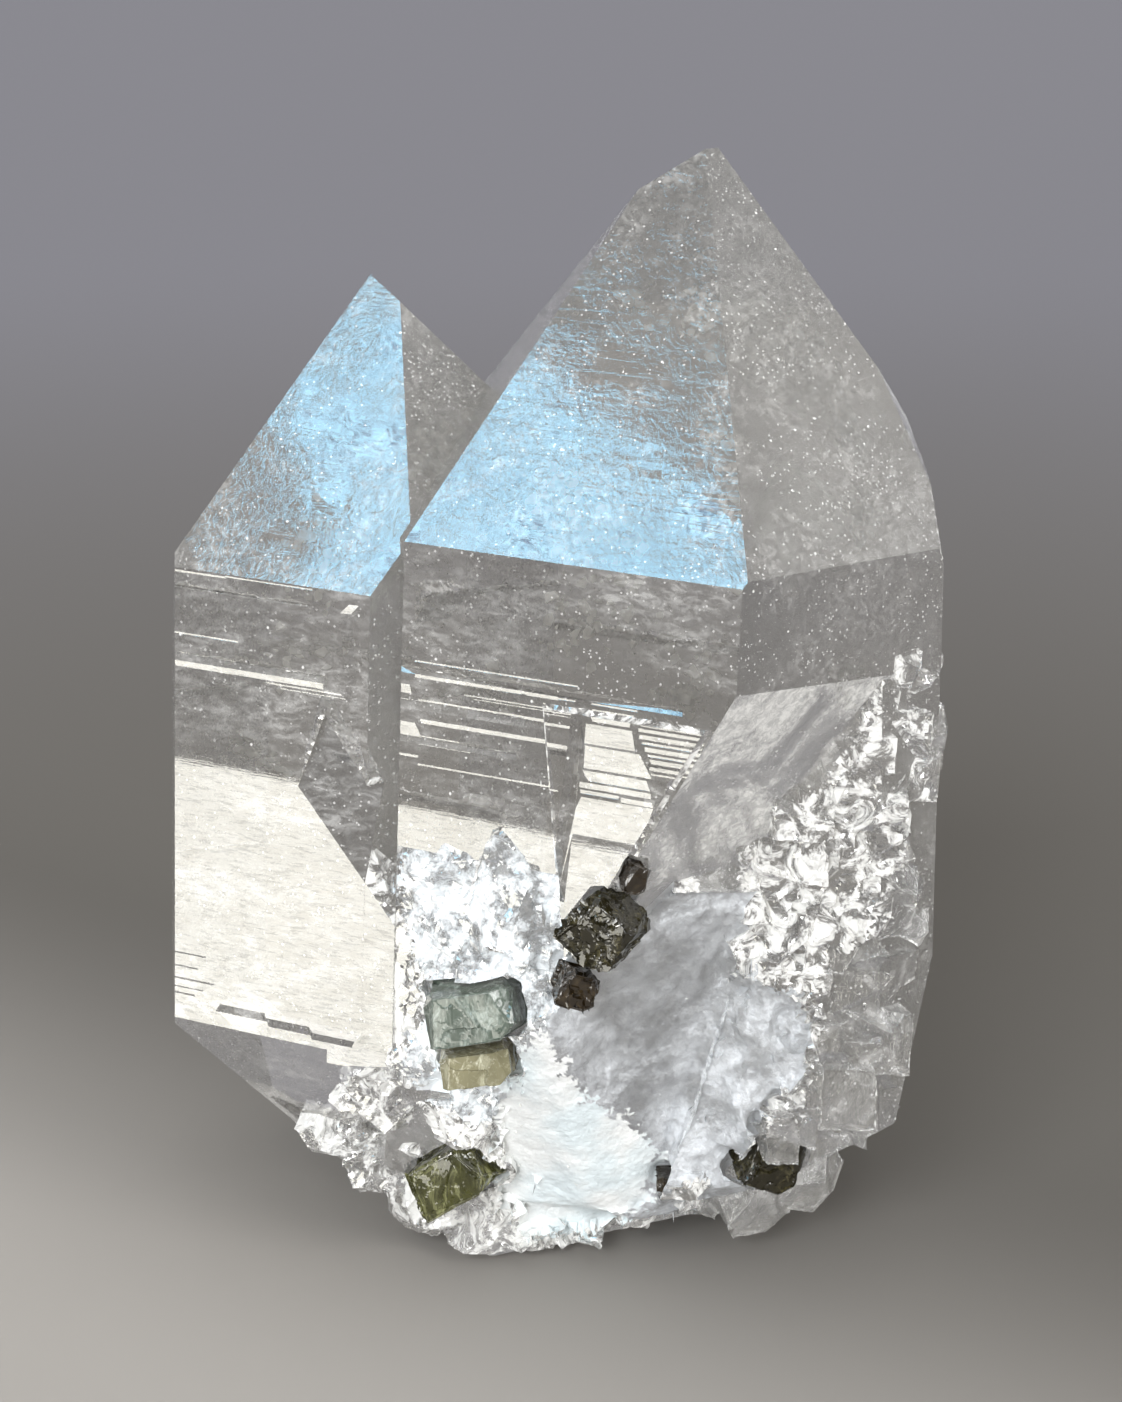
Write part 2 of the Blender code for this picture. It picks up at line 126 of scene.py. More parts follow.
# The white card's mirror image ends at this height of the front prism faces. A strip above it tips down
# and shows the card, and a strip below it tips up and goes dark. Its tilt in degrees grows with its
# distance from the line, and a spare tilt is added.
MIRROR_LINE = 31.9
TILT_PER_MM = 0.47
SPARE_TILT = 0.8

# Width of the steep edge around a strip, and most slant of its ends
RISER = 0.012
END_SLANT = 0.7

# Bright growth strips: height of the upper edge, width, and run along the face from the crystal's axis
LEFT_STRIPS = (
    (44.15, 0.12, -6.9, -3.2), (44.20, 0.08, -3.2, 2.6), (40.30, 0.10, -6.9, -2.3),
    (38.75, 0.62, -6.9, 3.4), (38.05, 0.10, -0.4, 4.6), (37.80, 0.05, 0.6, 4.9),
    (19.60, 0.10, -7.5, -4.4), (18.70, 0.08, -7.5, -5.0), (17.90, 0.12, -7.5, -3.8),
    (17.30, 0.07, -7.5, -4.6), (16.90, 0.12, -7.5, -5.2), (16.62, 0.50, -3.4, -0.3),
    (16.32, 0.50, -0.2, 2.8), (15.98, 0.42, 2.9, 5.9),
)
RIGHT_STRIPS = (
    (40.95, 0.09, -10.6, -0.4), (40.32, 0.44, -10.5, -3.8), (40.14, 0.26, -3.8, -1.6),
    (40.05, 0.10, -1.6, 3.3), (39.34, 0.07, -7.4, 0.1), (39.16, 0.05, -6.8, 0.1),
    (38.62, 0.18, -10.3, 0.0), (37.42, 0.26, -10.2, -0.3), (36.40, 0.06, -10.2, -7.6),
    (35.90, 0.06, -10.2, -6.9), (34.66, 0.11, -10.2, -1.2), (39.40, 0.56, -12.9, -10.9),
    (37.12, 0.94, -12.9, -10.5), (35.15, 0.15, -12.8, -10.2), (39.70, 0.62, 0.5, 3.1),
    (38.94, 1.26, 0.4, 3.2), (37.62, 1.42, 0.4, 3.7), (36.12, 0.60, 0.3, 4.2),
    (35.40, 0.34, 0.2, 4.5), (34.94, 0.22, 0.2, 2.6), (34.86, 0.30, 2.7, 4.6),
    (34.50, 2.40, 0.3, 4.7), (39.55, 0.26, 3.6, 9.5), (39.16, 0.20, 3.6, 9.5),
    (38.80, 0.26, 3.7, 9.5), (38.40, 0.14, 3.9, 9.5), (38.10, 0.26, 4.0, 9.5),
    (37.70, 0.12, 4.2, 9.5), (37.42, 0.26, 4.3, 9.5), (36.98, 0.22, 4.4, 9.5),
    (36.60, 0.10, 4.5, 9.5),
)

# Outlines in the photo's pixels: the white frosted body, whose whiteness is partly painted light, the ridge
# on its right, the grey frosted body, the granular zone, and the sharp shards on the right side
WHITE_BODY = (
    (540, 1030), (562, 1060), (590, 1100), (628, 1118), (655, 1150), (664, 1172), (640, 1212),
    (600, 1235), (545, 1247), (520, 1237), (496, 1208), (494, 1130), (508, 1068),
)
WHITE_RIDGE = ((540, 1030), (664, 1172))
FROSTED = (
    (560, 1010), (585, 955), (640, 900), (700, 905), (735, 975), (800, 1000), (806, 1060), (760, 1120),
    (742, 1165), (690, 1185), (640, 1190), (600, 1110),
)
GRANULAR = (
    (398, 815), (470, 812), (560, 850), (565, 905), (580, 965), (560, 1000), (535, 1035),
    (505, 1068), (492, 1130), (440, 1110), (395, 1070), (428, 1000), (398, 900),
)
SHARDS = (
    (905, 600), (928, 640), (926, 800), (880, 930), (830, 960), (805, 1110), (765, 1130),
    (760, 1050), (690, 1000), (680, 925), (740, 900), (745, 850), (860, 750), (880, 650),
)

# Zones of the rough front, where the first whose outline fits counts
ZONES = ((WHITE_BODY, WHITE), (GRANULAR, GRAIN), (FROSTED, FROST))

# Columns of the photo from where the right side may be gently broken, its facets are broken, and nothing
# stands proud of its straight outline
HACKLE_SIDE = 700
FLANK_SIDE = 745
STRAIGHT_SIDE = 895

# Direction in which the shards on the right side are drawn out
SHARD_WAY = Vector((0.42, 0.0, 0.91)).normalized()

# The granular part of the right crystal's front prism face: its top, and its right end along the face
GRANULAR_TOP = 29.3
GRANULAR_END = -0.9

# What tells the finishes apart, in square millimetres: least area of a growth step, a frosted facet and a
# crystal face, and most area of a facet in the frosted body and on the broken flank
STEP_AREA = 4.0
FROSTED_AREA = 6.0
FACE_AREA = 9.0
SMALL_FACET = 30.0
FLANK_FACET = 40.0

# Where the frosted body begins in depth and ends in width and height, how high the broken flank and the
# underside go, and how far back the rough zones reach
FROST_FRONT = -6.0
FROST_SIDES = (-6.0, 12.0)
FROST_TOP = 27.0
FLANK_TOP = 48.0
UNDERSIDE_TOP = 1.5
ROUGH_BACK = 3.0

# Valleys in the front prism faces: start and end as run and height, half width and depth
LEFT_VALLEY = ((5.0, 43.6), (6.6, 26.6), 0.62, 0.22)
RIGHT_VALLEY = ((0.05, 40.6), (-1.0, 27.4), 0.48, 0.20)


def facing(azimuth, elevation=0.0):
    """Unit direction that a face looks in, with azimuth 0 towards -Y and 90 towards +X."""
    turn = math.radians(azimuth)
    rise = math.radians(elevation)
    flat = math.cos(rise)
    return Vector((math.sin(turn) * flat, -math.cos(turn) * flat, math.sin(rise)))


FRONT = facing(FIRST_AZIMUTH)
FRONT_RHOMB = facing(FIRST_AZIMUTH, RHOMB_SLOPE)
LOWER_RHOMB = facing(FIRST_AZIMUTH, -RHOMB_SLOPE)
ALONG = facing(FIRST_AZIMUTH + 90.0)
UP = Vector((0.0, 0.0, 1.0))

# Scale of the clouds on the glowing cards
CLOUDS_PER_METRE = 230.0


def camera_axes():
    """Directions to the right, up and ahead of the camera."""
    turn = Euler((math.radians(90.0 - CAMERA_PITCH), 0.0, 0.0)).to_matrix()
    return turn @ Vector((1, 0, 0)), turn @ Vector((0, 1, 0)), turn @ Vector((0, 0, -1))


def sight(x, y):
    """Direction in which the camera sees a pixel of the photo."""
    right, up, ahead = camera_axes()
    unit = SENSOR / PHOTO_SIZE[1]
    across = (x - PHOTO_SIZE[0] / 2.0) * unit
    rise = (PHOTO_SIZE[1] / 2.0 - y) * unit
    return (right * across + up * rise + ahead * CAMERA_LENS).normalized()


def seen_at(point):
    """Where the photo shows a point of the drawing, in its pixels."""
    right, up, ahead = camera_axes()
    way = STANCE @ point - CAMERA_PLACE
    scale = CAMERA_LENS * PHOTO_SIZE[1] / SENSOR / way.dot(ahead)
    return PHOTO_SIZE[0] / 2.0 + way.dot(right) * scale, PHOTO_SIZE[1] / 2.0 - way.dot(up) * scale


def depth_inside(outline, spot):
    """Distance in pixels from a spot to an outline, positive inside it."""
    x, y = spot
    inside = False
    nearest = math.inf
    for (ax, ay), (bx, by) in zip(outline, outline[1:] + outline[:1]):
        if (ay > y) != (by > y) and x < (bx - ax) * (y - ay) / (by - ay) + ax:
            inside = not inside
        length = (bx - ax) ** 2 + (by - ay) ** 2
        run = min(1.0, max(0.0, ((x - ax) * (bx - ax) + (y - ay) * (by - ay)) / length))
        nearest = min(nearest, math.hypot(ax + run * (bx - ax) - x, ay + run * (by - ay) - y))
    return nearest if inside else -nearest


def ease(value):
    """Runs smoothly from 0 to 1 as the value goes from 0 to 1."""
    held = min(1.0, max(0.0, value))
    return held * held * (3.0 - 2.0 * held)


def mirrored_ray(pixel, outward, point):
    """Start and direction, in millimetres, of the ray that a face reflects towards a pixel."""
    turn = STANCE.to_3x3()
    normal = (turn @ outward).normalized()
    place = STANCE @ point
    look = sight(*pixel)
    reach = (place - CAMERA_PLACE).dot(normal) / look.dot(normal)
    return CAMERA_PLACE + look * reach, look - normal * 2.0 * look.dot(normal)


def add_object(name, data):
    """Makes an object of the data and puts it in the scene."""
    item = bpy.data.objects.new(name, data)
    bpy.context.collection.objects.link(item)
    return item


def add_camera():
    """The camera at the photo's angle."""
    data = bpy.data.cameras.new("camera")
    data.lens = CAMERA_LENS
    data.sensor_width = SENSOR
    data.clip_start = 0.01
    item = add_object("camera", data)
    item.location = CAMERA_PLACE * MM
    item.rotation_euler = (math.radians(90.0 - CAMERA_PITCH), 0.0, 0.0)
    bpy.context.scene.camera = item


def reflection_card(name, pixels, face, plane, colours, radiance):
    """Card in a plane that a crystal face mirrors to the camera, with its corners at the pixels.

    The face and the plane are each given by a direction and a point in millimetres."""
    outward, point = plane
    corners = []
    for pixel in pixels:
        start, way = mirrored_ray(pixel, *face)
        reach = (point - start).dot(outward) / way.dot(outward)
        corners.append((start + way * reach) * MM)
    glowing_card(name, corners, colours, radiance)


def glowing_card(name, corners, colours, radiance):
    """Clouded card that only reflections see; its corners are in metres."""
    data = bpy.data.meshes.new(name)
    data.from_pydata(corners, [], [range(len(corners))])
    graph = Graph(name)
    where = graph.node("TexCoord").outputs["Object"]
    pattern = graph.ramp(graph.noise(where, CLOUDS_PER_METRE, 5.0, 0.7, 2.0), 0.36, 0.58)
    glow = graph.node("Emission", Strength=radiance)
    graph.feed(glow, "Color", graph.mix(pattern, *colours))
    graph.tree.links.new(glow.outputs[0], graph.tree.nodes["Material Output"].inputs["Surface"])
    graph.material.cycles.emission_sampling = "NONE"
    data.materials.append(graph.material)
    card = add_object(name, data)
    card.visible_camera = False
    card.visible_diffuse = False
    card.visible_transmission = False
    card.visible_shadow = False


class Graph:
    """A material's node tree, built from short calls."""

    def __init__(self, name):
        self.material = bpy.data.materials.new(name)
        self.material.use_nodes = True
        self.tree = self.material.node_tree
        self.shader = self.tree.nodes["Principled BSDF"]

    def node(self, kind, settings=None, **inputs):
        """New node of a kind, with its settings and the values or links of its inputs."""
        made = self.tree.nodes.new("ShaderNode" + kind)
        for key, value in (settings or {}).items():
            setattr(made, key, value)
        for key, value in inputs.items():
            self.feed(made, key.replace("_", " "), value)
        return made

    def feed(self, node, socket, value):
        """Links an input to an output, or gives it a value."""
        target = node.inputs[socket]
        if isinstance(value, bpy.types.NodeSocket):
            self.tree.links.new(value, target)
        else:
            target.default_value = (*value, 1.0) if target.type == "RGBA" else value

    def math(self, operation, first, second=0.0):
        made = self.node("Math", {"operation": operation})
        self.feed(made, 0, first)
        self.feed(made, 1, second)
        return made.outputs[0]

    def mix(self, share, first, second):
        """Goes from the first colour to the second as the share goes from 0 to 1."""
        made = self.node("Mix", {"data_type": "RGBA"})
        for index, value in ((0, share), (6, first), (7, second)):
            self.feed(made, index, value)
        return made.outputs[2]

    def ramp(self, value, low, high, bottom=0.0, top=1.0):
        """Runs smoothly from bottom to top as the value goes from low to high."""
        made = self.node("MapRange", {"interpolation_type": "SMOOTHSTEP"}, Value=value)
        for key, number in (("From Min", low), ("From Max", high), ("To Min", bottom), ("To Max", top)):
            self.feed(made, key, number)
        return made.outputs[0]

    def place(self, turn=0.0, stretch=(1.0, 1.0, 1.0)):
        """The drawing's coordinates, turned about Z by an angle in degrees and stretched."""
        kind = "Mapping"
        where = self.node("TexCoord").outputs["Object"]
        upright = self.node(kind, Vector=where, Location=TO_DRAWING.translation)
        self.feed(upright, "Rotation", TO_DRAWING.to_euler())
        self.feed(upright, "Scale", (1.0 / MM,) * 3)
        turned = self.node(kind, Vector=upright.outputs[0], Rotation=(0.0, 0.0, math.radians(turn)))
        return self.node(kind, Vector=turned.outputs[0], Scale=stretch).outputs[0]

    def terraces(self, value, levels, width):
        """Goes up by one at each level as the value rises."""
        height = 0.0
        for level in levels:
            height = self.math("ADD", self.ramp(value, level, level + width), height)
        return height

    def noise(self, vector, scale, detail=3.0, roughness=0.5, distortion=0.0):
        """Noise between 0 and 1; the scale is the number of its waves in a unit of the vector."""
        made = self.node("TexNoise", Vector=vector, Scale=scale, Detail=detail)
        self.feed(made, "Roughness", roughness)
        self.feed(made, "Distortion", distortion)
        return made.outputs["Fac"]

    def cells(self, vector, scale):
        """Distance to the nearest of scattered points."""
        return self.node("TexVoronoi", Vector=vector, Scale=scale).outputs["Distance"]

    def relief(self, *layers, coated=True):
        """Shades the skin, and its coat too, with layers of relief: each a height and a depth in mm."""
        normal = None
        for height, depth in layers:
            made = self.node("Bump", Height=height, Strength=1.0, Distance=depth * MM)
            if normal:
                self.feed(made, "Normal", normal)
            normal = made.outputs[0]
        self.set(Normal=normal)
        if coated:
            self.set(Coat_Normal=normal)

    def set(self, **inputs):
        """Sets or links inputs of the material's shader."""
        for key, value in inputs.items():
            self.feed(self.shader, key.replace("_", " "), value)


def quartz_base(name):
    """Clear quartz: plain transmission and IOR, with a thin gloss coat on the skin."""
    graph = Graph(name)
    graph.set(IOR=IOR, Transmission_Weight=1.0, Roughness=0.04)
    graph.set(Coat_Weight=1.0, Coat_IOR=2.0, Coat_Roughness=0.02)
    graph.set(Base_Color=(0.96, 0.95, 0.915))
    return graph


def specks(graph, where, scale, share, radius):
    """Small angular spots, 1 inside and 0 outside: cells per millimetre, share of cells, radius in cells."""
    made = graph.node("TexVoronoi", {"distance": "MANHATTAN"}, Vector=where, Scale=scale)
    draw = graph.node("SeparateColor", Color=made.outputs["Color"]).outputs[0]
    chosen = graph.math("LESS_THAN", draw, share)
    spot = graph.math("LESS_THAN", made.outputs["Distance"], radius)
    return graph.math("MULTIPLY", chosen, spot)


def dust(graph, where, amount):
    """Etch pits and dust that show as pale specks of three sizes."""
    large = specks(graph, where, 0.9, 0.35 * amount, 0.11)
    small = specks(graph, where, 1.9, 0.50 * amount, 0.19)
    fine = specks(graph, where, 3.2, 0.50 * amount, 0.28)
    patches = graph.ramp(graph.noise(where, 0.35, 2.0), 0.35, 0.60, 0.0, 0.6)
    spots = graph.math("MAXIMUM", large, graph.math("MULTIPLY", small, 0.7))
    return graph.math("MAXIMUM", graph.math("MULTIPLY", spots, 0.8), graph.math("MULTIPLY", fine, patches))


def mottle(graph, where, thin, thick):
    """Fine uneven haze whose strength drifts slowly over the crystal."""
    fine = graph.ramp(graph.noise(where, 1.9, 6.0, 0.8, 0.6), 0.40, 0.64, thin, thick)
    drift = graph.ramp(graph.noise(where, 0.16, 4.0, 0.65, 0.8), 0.36, 0.64, 0.20, 1.35)
    return graph.math("MULTIPLY", fine, drift)


def dusty(graph, where, pale, amount, clear=1.0, dusted=0.1):
    """Lets pale patches and an amount of dust turn from clear to pale and scattering."""
    mask = graph.math("MAXIMUM", pale, dust(graph, where, amount))
    graph.set(Transmission_Weight=graph.ramp(mask, 0.0, 1.0, clear, dusted))


def prism_material():
    """Front prism faces: glossy, with fine growth lines across the crystal's axis."""
    graph = quartz_base("quartz_prism")
    turned = -FIRST_AZIMUTH
    wide = graph.noise(graph.place(turned, (0.05, 0.05, 1.0)), 2.2, 3.0, 0.75)
    fine = graph.noise(graph.place(turned, (0.09, 0.09, 1.0)), 9.0, 2.0, 0.6)
    where = graph.place()
    waves = graph.noise(where, 0.35, 2.0, 0.5)
    graph.relief((wide, 0.0006), (fine, 0.0003), (waves, 0.0015))
    graph.set(Coat_Roughness=0.008)
    graph.set(Roughness=graph.ramp(graph.noise(where, 0.8, 4.0, 0.7), 0.35, 0.75, 0.02, 0.10))
    hatch = graph.noise(graph.place(turned, (0.12, 0.12, 1.0)), 7.0, 2.0, 0.8)
    graph.set(Coat_Weight=graph.ramp(hatch, 0.50, 0.64, 1.0, 0.62))
    haze = mottle(graph, graph.place(turned, (0.4, 0.4, 1.0)), 0.08, 0.30)
    dusty(graph, where, haze, 1.0)
    return graph.material


def rhomb_material():
    """Front rhomb faces: glossy, with thin growth terraces whose edges break up reflections."""
    graph = quartz_base("quartz_rhomb")
    turned = -FIRST_AZIMUTH
    where = graph.place(turned)
    leaning = graph.place(turned + 25.0, (1.0, 1.0, 0.3))
    across = graph.place(turned, (0.05, 0.05, 1.0))
    patches = graph.ramp(graph.noise(where, 0.22, 2.0, 0.5), 0.38, 0.50)
    swirling = graph.noise(where, 0.9, 2.0, 0.5, 2.2)
    swirl = graph.terraces(swirling, (0.36, 0.41, 0.46, 0.51, 0.56, 0.61), 0.02)
    hairs = graph.terraces(graph.noise(leaning, 2.0, 2.0, 0.5, 1.5), (0.40, 0.46, 0.52, 0.58), 0.03)
    steps = graph.terraces(graph.noise(across, 1.6, 2.0, 0.6), (0.36, 0.42, 0.47, 0.52, 0.58), 0.02)
    waves = graph.noise(where, 0.5, 1.0)
    swirl = graph.math("MULTIPLY", swirl, patches)
    hairs = graph.math("MULTIPLY", hairs, patches)
    graph.relief((waves, 0.003), (swirl, 0.0008), (hairs, 0.0005), (steps, 0.0005))
    graph.set(Coat_Roughness=0.008, Roughness=0.06)
    haze = mottle(graph, where, 0.02, 0.28)
    dusty(graph, where, haze, 0.9)
    return graph.material


def satin_material(name="quartz_satin", thin=0.02, thick=0.23):
    """The other crystal faces: a fine satin etch with pale specks and thin or thick haze."""
    graph = quartz_base(name)
    where = graph.place()
    grain = graph.noise(where, 5.0, 4.0, 0.7)
    waves = graph.noise(where, 0.5, 3.0, 0.6, 1.0)
    graph.relief((waves, 0.06), (grain, 0.045))
    graph.set(Coat_Roughness=0.2)
    graph.set(Roughness=graph.ramp(graph.noise(where, 0.6, 5.0, 0.7), 0.3, 0.7, 0.10, 0.22))
    haze = mottle(graph, where, thin, thick)
    dusty(graph, where, haze, 1.6, 0.98, 0.0)
    return graph.material


def hazy_material():
    """The facets that slope inward and under: satin and full of pale haze."""
    return satin_material("quartz_hazy", 0.40, 0.72)


def rubble_material():
    """Broken quartz: glassy chips with paler bruised patches."""
    graph = quartz_base("quartz_rubble")
    where = graph.place()
    grain = graph.noise(where, 3.0, 3.0, 0.6)
    graph.relief((grain, 0.03), coated=False)
    graph.set(Roughness=0.06)
    pale = graph.ramp(graph.noise(where, 0.55, 5.0, 0.7, 1.2), 0.43, 0.57, 0.14, 0.80)
    dusty(graph, where, pale, 1.0, 1.0, 0.08)
    return graph.material


def hackle_material():
    """Gently broken quartz: satin, drawn out in fine upright streaks."""
    graph = quartz_base("quartz_hackle")
    where = graph.place()
    streaks = graph.noise(graph.place(20.0, (1.0, 1.0, 0.22)), 3.0, 4.0, 0.75, 1.2)
    graph.relief((streaks, 0.10))
    graph.set(Coat_Roughness=0.12, Roughness=0.18)
    pale = graph.ramp(graph.noise(where, 0.5, 4.0, 0.7, 0.6), 0.45, 0.68, 0.08, 0.40)
    dusty(graph, where, pale, 1.2, 0.96, 0.08)
    return graph.material


def grain_material():
    """Granular quartz: small bluish lumps, some clear and some full of fine bubbles."""
    graph = quartz_base("quartz_grain")
    where = graph.place()
    grain = graph.noise(where, 4.0, 3.0, 0.7)
    graph.relief((grain, 0.05), coated=False)
    graph.set(Roughness=0.10)
    milky = graph.ramp(graph.noise(where, 0.5, 5.0, 0.7), 0.38, 0.58, 0.25, 0.95)
    dusty(graph, where, milky, 1.0, 1.0, 0.04)
    graph.set(Base_Color=(0.93, 0.97, 0.99))
    return graph.material


def frost_material():
    """Grey frosted body on the front: a scattering skin over clear quartz, its greyness partly painted
    shade.
    """
    graph = quartz_base("quartz_frost")
    where = graph.place()
    grain = graph.noise(where, 4.0, 4.0, 0.8)
    graph.relief((grain, 0.14))
    graph.set(Roughness=0.35, Coat_Roughness=0.2)
    fine = mottle(graph, where, 0.16, 0.52)
    broad = graph.ramp(graph.noise(where, 0.28, 5.0, 0.7, 0.5), 0.35, 0.70, 0.14, 0.42)
    cloud = graph.math("ADD", fine, broad)
    dusty(graph, where, cloud, 1.2)
    graph.set(Base_Color=(0.88, 0.91, 0.94))
    return graph.material


def white_material():
    """White frosted body: sugary, nearly opaque, with a cool tint, and whiter than the grey frost where the
    light falls, partly painted light.
    """
    graph = quartz_base("quartz_white")
    where = graph.place()
    sugar = graph.noise(where, 4.2, 4.0, 0.8)
    lumps = graph.math("MULTIPLY", graph.cells(where, 2.4), -1.0)
    graph.relief((lumps, 0.045), (sugar, 0.08))
    graph.set(Roughness=0.5, Coat_Roughness=0.25, Coat_Weight=0.4)
    # nearly opaque and whiter than the grey frost: the frosted skin's own colour, partly painted light
    clear = graph.ramp(graph.noise(where, 0.5, 5.0, 0.7), 0.35, 0.70, 0.02, 0.22)
    graph.set(Transmission_Weight=clear)
    tint = graph.ramp(graph.noise(where, 0.25, 3.0), 0.35, 0.65)
    graph.set(Base_Color=graph.mix(tint, (0.97, 0.98, 0.96), (0.88, 0.97, 0.99)))
    return graph.material


def inclusion_material():
    """Healed cracks and bubbles inside the quartz: silvery films."""
    graph = Graph("quartz_films")
    where = graph.place()
    graph.relief((graph.noise(where, 6.0, 3.0), 0.02), coated=False)
    graph.set(IOR=1.3, Roughness=0.25)
    graph.set(Transmission_Weight=graph.ramp(graph.noise(where, 0.7, 3.0), 0.40, 0.70, 0.0, 0.4))
    graph.set(Base_Color=(0.97, 0.96, 0.92))
    return graph.material


def mineral_material(name, dark, light, clear, roughness, streak=1.0):
    """Small crystals of another mineral: glassy, blotched between two colours."""
    graph = Graph(name)
    where = graph.place(30.0, (1.0, 1.0, streak))
    blotch = graph.ramp(graph.noise(where, 0.9, 5.0, 0.75, 1.2), 0.46, 0.70)
    graph.set(Base_Color=graph.mix(blotch, dark, light))
    graph.relief((graph.noise(where, 1.2, 3.0, 0.6, 0.8), 0.03))
    graph.set(IOR=1.62, Roughness=roughness, Coat_Weight=0.15, Coat_Roughness=0.08, Coat_IOR=1.6)
    graph.set(Transmission_Weight=graph.ramp(graph.noise(where, 0.6, 3.0), 0.35, 0.7, 0.1, clear))
    return graph.material


def on_prism_face(face):
    """True for a prism face or a groove in one: it looks squarely out of one of the six sides."""
    level = Vector((face.normal.x, face.normal.y, 0.0))
    if level.length < 0.5:
        return False
    side = 60.0
    azimuth = math.degrees(math.atan2(level.x, -level.y))
    turned = (azimuth - FIRST_AZIMUTH) % side
    return min(turned, side - turned) < 0.6


def near_front(centre):
    """True for a place at most 0.7 mm from the plane of a front prism face."""
    left = abs((centre - LEFT_AXIS).dot(FRONT) - LEFT_FRONT)
    right = abs((centre - RIGHT_AXIS).dot(FRONT) - RIGHT_FRONT)
    return min(left, right) < 0.7


def in_frosted_body(centre):
    """True for a place in the box around the frosted body."""
    left, right = FROST_SIDES
    return left < centre.x < right and centre.y < FROST_FRONT and centre.z < FROST_TOP


def zone_of(face):
    """Which finish a face of the solid has."""
    normal = face.normal
    area = face.calc_area()
    centre = face.calc_center_median()
    spot = seen_at(centre)
    prism = on_prism_face(face)
    if normal.dot(FRONT_RHOMB) > PARALLEL and area > STEP_AREA:
        return RHOMB
    small = area < SMALL_FACET and normal.y < 0.3
    if small and centre.y < FROST_FRONT and depth_inside(FROSTED, spot) > 0.0:
        return FROST
    if prism and Vector((normal.x, normal.y, 0.0)).normalized().dot(FRONT) > PARALLEL:
        return PRISM
    if normal.dot(FRONT) > 0.95 and area > STEP_AREA and near_front(centre):
        return PRISM
    if area > FACE_AREA and max(normal.dot(facing(*INWARD)), normal.dot(LOWER_RHOMB)) > 0.99:
        return HAZY
    if normal.z < -0.99 and centre.z < UNDERSIDE_TOP:
        return SATIN
    outward = normal.y < -0.3
    if in_frosted_body(centre) and area > FROSTED_AREA and outward:
        return FROST
    if spot[0] > FLANK_SIDE and centre.z < FLANK_TOP and outward and area < FLANK_FACET and not prism:
        return RUBBLE
    if area > FACE_AREA or prism:
        return SATIN
    return RUBBLE


def solid_source(node):
    """A solid's skin in the upright drawing, in millimetres, with each flat face whole again."""
    shape = bmesh.new()
    shape.from_mesh(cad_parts[node].data)
    shape.transform(TO_DRAWING)
    bmesh.ops.remove_doubles(shape, verts=shape.verts[:], dist=MERGE)
    bmesh.ops.dissolve_limit(shape, angle_limit=FLAT_ANGLE, verts=shape.verts[:], edges=shape.edges[:])
    return shape


def split_face_rows(shape, wanted, outward, place):
    """Cuts the wanted faces along the plane through place that looks outward."""
    faces = [face for face in shape.faces if wanted(face)]
    items = set(faces)
    for face in faces:
        items.update(face.edges, face.verts)
    bmesh.ops.bisect_plane(shape, geom=list(items), dist=MERGE, plane_co=place, plane_no=outward)


def on_front(face, axis, reach, slack=2.0):
    """True for a face of a crystal's front prism face that lies near a distance from its axis."""
    if face.material_index != PRISM or face.normal.dot(FRONT) < 0.98:
        return False
    centre = face.calc_center_median()
    if (centre.dot(ALONG) < FRONT_BORDER) != (axis is LEFT_AXIS):
        return False
    return abs((centre - axis).dot(FRONT) - reach) < slack


def flatten_front(shape, axis, levels):
    """Presses the shallow ledges of a front prism face back to its flat levels."""
    shallow = 0.35
    for point in shape.verts:
        if not any(on_front(face, axis, levels[0]) for face in point.link_faces):
            continue
        reach = (point.co - axis).dot(FRONT)
        level = min(levels, key=lambda value: abs(value - reach))
        if abs(level - reach) < shallow:
            point.co += FRONT * (level - reach)


def cut_growth_strips(shape, axis, reach, strips):
    """Raises the strips of a front prism face as real relief, each tipped to the white card."""
    chance = random.Random(7)
    for top, width, left, right in strips:
        bottom = top - width
        for height in (top, bottom, bottom - RISER):
            split_face_rows(shape, lambda face: on_front(face, axis, reach), UP, UP * height)

        def in_strip(face):
            return on_front(face, axis, reach) and bottom - RISER < face.calc_center_median().z < top

        left_slant = chance.uniform(-END_SLANT, END_SLANT)
        right_slant = chance.uniform(-END_SLANT, END_SLANT)
        left_cuts = ((left - RISER, left_slant), (left, left_slant))
        right_cuts = ((right, right_slant), (right + RISER, right_slant))
        for place, slant in left_cuts + right_cuts:
            split_face_rows(shape, in_strip, ALONG - UP * slant, axis + ALONG * place + UP * top)
        tilt = (top - MIRROR_LINE) * TILT_PER_MM
        tilt += SPARE_TILT if tilt > 0.0 else -SPARE_TILT
        slope = math.tan(math.radians(tilt))
        for point in {v for face in shape.faces if in_strip(face) for v in face.verts}:
            run = (point.co - axis).dot(ALONG)
            drop = top - point.co.z
            inside = left - left_slant * drop - HAIR <= run <= right - right_slant * drop + HAIR
            if inside and point.co.z > bottom - HAIR:
                point.co -= FRONT * slope * drop


def cut_valley(shape, axis, reach, start, end, half, depth):
    """Presses a shallow valley into a front prism face along a slanted line."""
    top = axis + ALONG * start[0] + UP * start[1]
    foot = axis + ALONG * end[0] + UP * end[1]
    across = (top - foot).cross(FRONT).normalized()

    def in_band(face):
        return on_front(face, axis, reach) and foot.z < face.calc_center_median().z < top.z

    for height in (top.z, top.z - half, foot.z + half, foot.z):
        split_face_rows(shape, lambda face: on_front(face, axis, reach), UP, UP * height)
    for offset in (-half, 0.0, half):
        split_face_rows(shape, in_band, across, top + across * offset)
    for point in {v for face in shape.faces if in_band(face) for v in face.verts}:
        inside = foot.z + half / 2.0 < point.co.z < top.z - half / 2.0
        if inside and abs((point.co - top).dot(across)) < HAIR:
            point.co -= FRONT * depth


